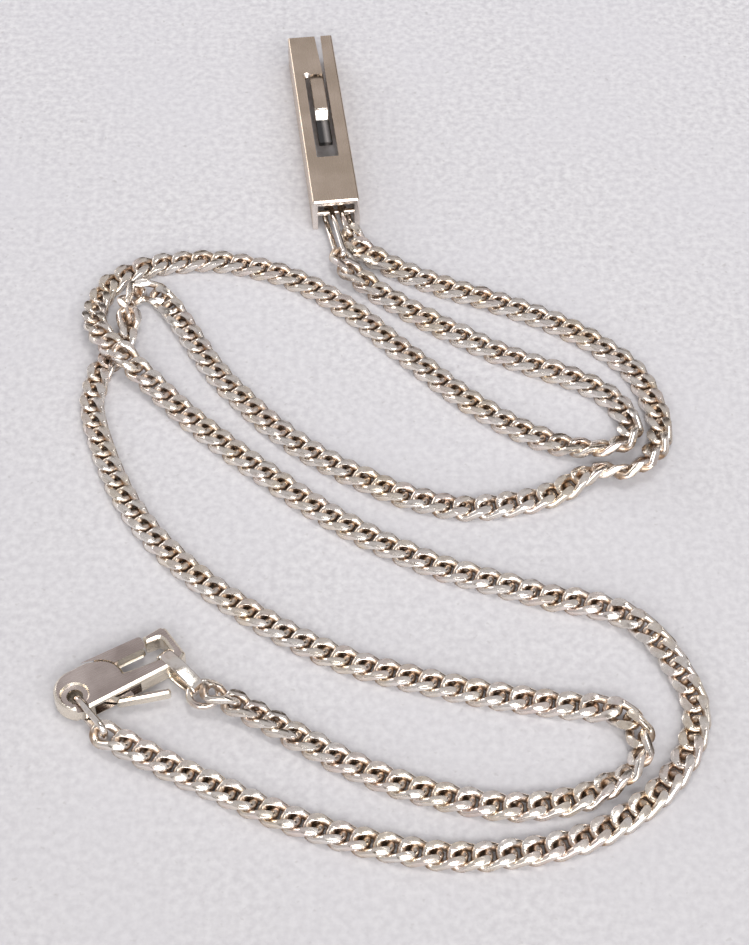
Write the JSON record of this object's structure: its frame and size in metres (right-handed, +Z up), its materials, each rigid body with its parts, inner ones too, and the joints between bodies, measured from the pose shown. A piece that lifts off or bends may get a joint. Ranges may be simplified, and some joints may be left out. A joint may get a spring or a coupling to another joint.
{
  "type": "pocket watch chain",
  "caption": "Double-strand curb-link watch chain laid in loops, joined at one end by a slotted bar clip and at the other by a squeeze clasp with a bail and ring.",
  "frame": {"origin": "bottom centre of the bounding box of the laid-out chain, on the table", "axes": "+Z up from the table; +Y from the clasp towards the bar clip, along the layout's long side; +X to the right with the clip at the far side"},
  "size_m": [0.1065, 0.1922, 0.0068],
  "materials": {
    "polished_silver": "polished silver, lightly tarnished between the links",
    "brushed_silver": "silver worn to a fine brushed grain with a warm tarnish",
    "spring_steel": "plain drawn spring strip"
  },
  "bodies": {
    "laid_chain": {"chain_a_03": "polished_silver", "chain_a_04": "polished_silver", "chain_a_05": "polished_silver", "chain_a_06": "polished_silver", "chain_a_07": "polished_silver", "chain_a_08": "polished_silver", "chain_a_09": "polished_silver", "chain_a_10": "polished_silver", "chain_a_11": "polished_silver", "chain_a_12": "polished_silver", "chain_a_13": "polished_silver", "chain_b_03": "polished_silver", "chain_b_04": "polished_silver", "chain_b_05": "polished_silver", "chain_b_06": "polished_silver", "chain_b_07": "polished_silver", "chain_b_08": "polished_silver", "chain_b_09": "polished_silver", "chain_b_10": "polished_silver", "chain_b_11": "polished_silver", "chain_b_12": "polished_silver", "chain_b_13": "polished_silver", "chain_b_14": "polished_silver"},
    "clip_crank_a": {"chain_a_02": "polished_silver"},
    "clip_crank_b": {"chain_b_02": "polished_silver"},
    "clip_end": {"chain_a_01": "polished_silver", "link_a_first": "polished_silver", "chain_b_01": "polished_silver", "link_b_first": "polished_silver", "clip_ring_a": "polished_silver", "clip_ring_b": "polished_silver"},
    "clip": {"clip_body": "brushed_silver", "clip_cross_pin": "polished_silver"},
    "clip_tongue": {"clip_tongue": "brushed_silver"},
    "middle_crank_a": {"chain_a_14": "polished_silver"},
    "middle_crank_b": {"chain_b_15": "polished_silver"},
    "front_loop": {"chain_a_15": "polished_silver", "chain_a_16": "polished_silver", "chain_a_17": "polished_silver", "chain_a_18": "polished_silver", "chain_b_16": "polished_silver", "chain_b_17": "polished_silver", "chain_b_18": "polished_silver"},
    "clasp_crank_a": {"chain_a_19": "polished_silver"},
    "clasp_crank_b": {"chain_b_19": "polished_silver"},
    "clasp_end": {"chain_a_20": "polished_silver", "link_a_last": "polished_silver", "clasp_eye_link": "polished_silver", "clasp_body": "brushed_silver", "clasp_pivot_pin": "polished_silver", "clasp_spring": "spring_steel", "clasp_bail": "polished_silver", "bail_ring": "polished_silver", "link_b_last": "polished_silver", "chain_b_20": "polished_silver"},
    "clasp_lever": {"clasp_lever": "brushed_silver"}
  },
  "joints": [
    {"name": "clip_sway", "type": "hinge", "parent": "laid_chain", "child": "clip_crank_a", "pos_m": [0.03171, 0.00651, 0.001], "axis": [0, 0, -1], "range_deg": [0, 12]},
    {"name": "clip_sway_far_link", "type": "hinge", "parent": "clip_crank_a", "child": "clip_end", "pos_m": [0.01249, 0.01762, 0.00098], "axis": [0, 0, -1], "range_deg": [-14, 2]},
    {"name": "clip_sway_b", "type": "hinge", "parent": "laid_chain", "child": "clip_crank_b", "pos_m": [0.03613, 0.01663, 0.001], "axis": [0, 0, -1], "range_deg": [-2, 14]},
    {"name": "clip_lift", "type": "hinge", "parent": "clip_end", "child": "clip", "pos_m": [-0.00712, 0.04669, 0.0029], "axis": [0.993, 0.1184, 0], "range_deg": [0, 38]},
    {"name": "clip_tongue_flex", "type": "hinge", "parent": "clip", "child": "clip_tongue", "pos_m": [-0.01147, 0.08313, 0.0063], "axis": [0.993, 0.1184, 0], "range_deg": [-5, 8], "stiffness_Nm_per_rad": 0.05},
    {"name": "middle_sway", "type": "hinge", "parent": "laid_chain", "child": "middle_crank_a", "pos_m": [0.0184, -0.0414, 0.00097], "axis": [0, 0, 1], "range_deg": [-10, 10]},
    {"name": "middle_sway_far_link", "type": "hinge", "parent": "middle_crank_a", "child": "front_loop", "pos_m": [0.03953, -0.04827, 0.00141], "axis": [0, 0, 1], "range_deg": [-12, 12]},
    {"name": "middle_sway_b", "type": "hinge", "parent": "laid_chain", "child": "middle_crank_b", "pos_m": [-0.00627, -0.05678, 0.001], "axis": [0, 0, 1], "range_deg": [-12, 12]},
    {"name": "clasp_sway", "type": "hinge", "parent": "front_loop", "child": "clasp_crank_a", "pos_m": [-0.00185, -0.09107, 0.001], "axis": [0, 0, 1], "range_deg": [-12, 12]},
    {"name": "clasp_sway_far_link", "type": "hinge", "parent": "clasp_crank_a", "child": "clasp_end", "pos_m": [-0.02237, -0.08256, 0.00089], "axis": [0, 0, 1], "range_deg": [-14, 14]},
    {"name": "clasp_sway_b", "type": "hinge", "parent": "front_loop", "child": "clasp_crank_b", "pos_m": [0.01461, -0.08419, 0.001], "axis": [0, 0, 1], "range_deg": [-14, 14]},
    {"name": "clasp_lever_squeeze", "type": "hinge", "parent": "clasp_end", "child": "clasp_lever", "pos_m": [-0.04303, -0.06374, 0.0022], "axis": [0, 0, 1], "range_deg": [0, 9], "stiffness_Nm_per_rad": 0.02}
  ],
  "couplings": [
    {"joint": "clip_sway_far_link", "follows": "clip_sway", "ratio": -1},
    {"joint": "clip_sway_b", "follows": "clip_sway", "ratio": 1},
    {"joint": "middle_sway_far_link", "follows": "middle_sway", "ratio": -1},
    {"joint": "middle_sway_b", "follows": "middle_sway", "ratio": 1},
    {"joint": "clasp_sway_far_link", "follows": "clasp_sway", "ratio": -1},
    {"joint": "clasp_sway_b", "follows": "clasp_sway", "ratio": 1}
  ]
}
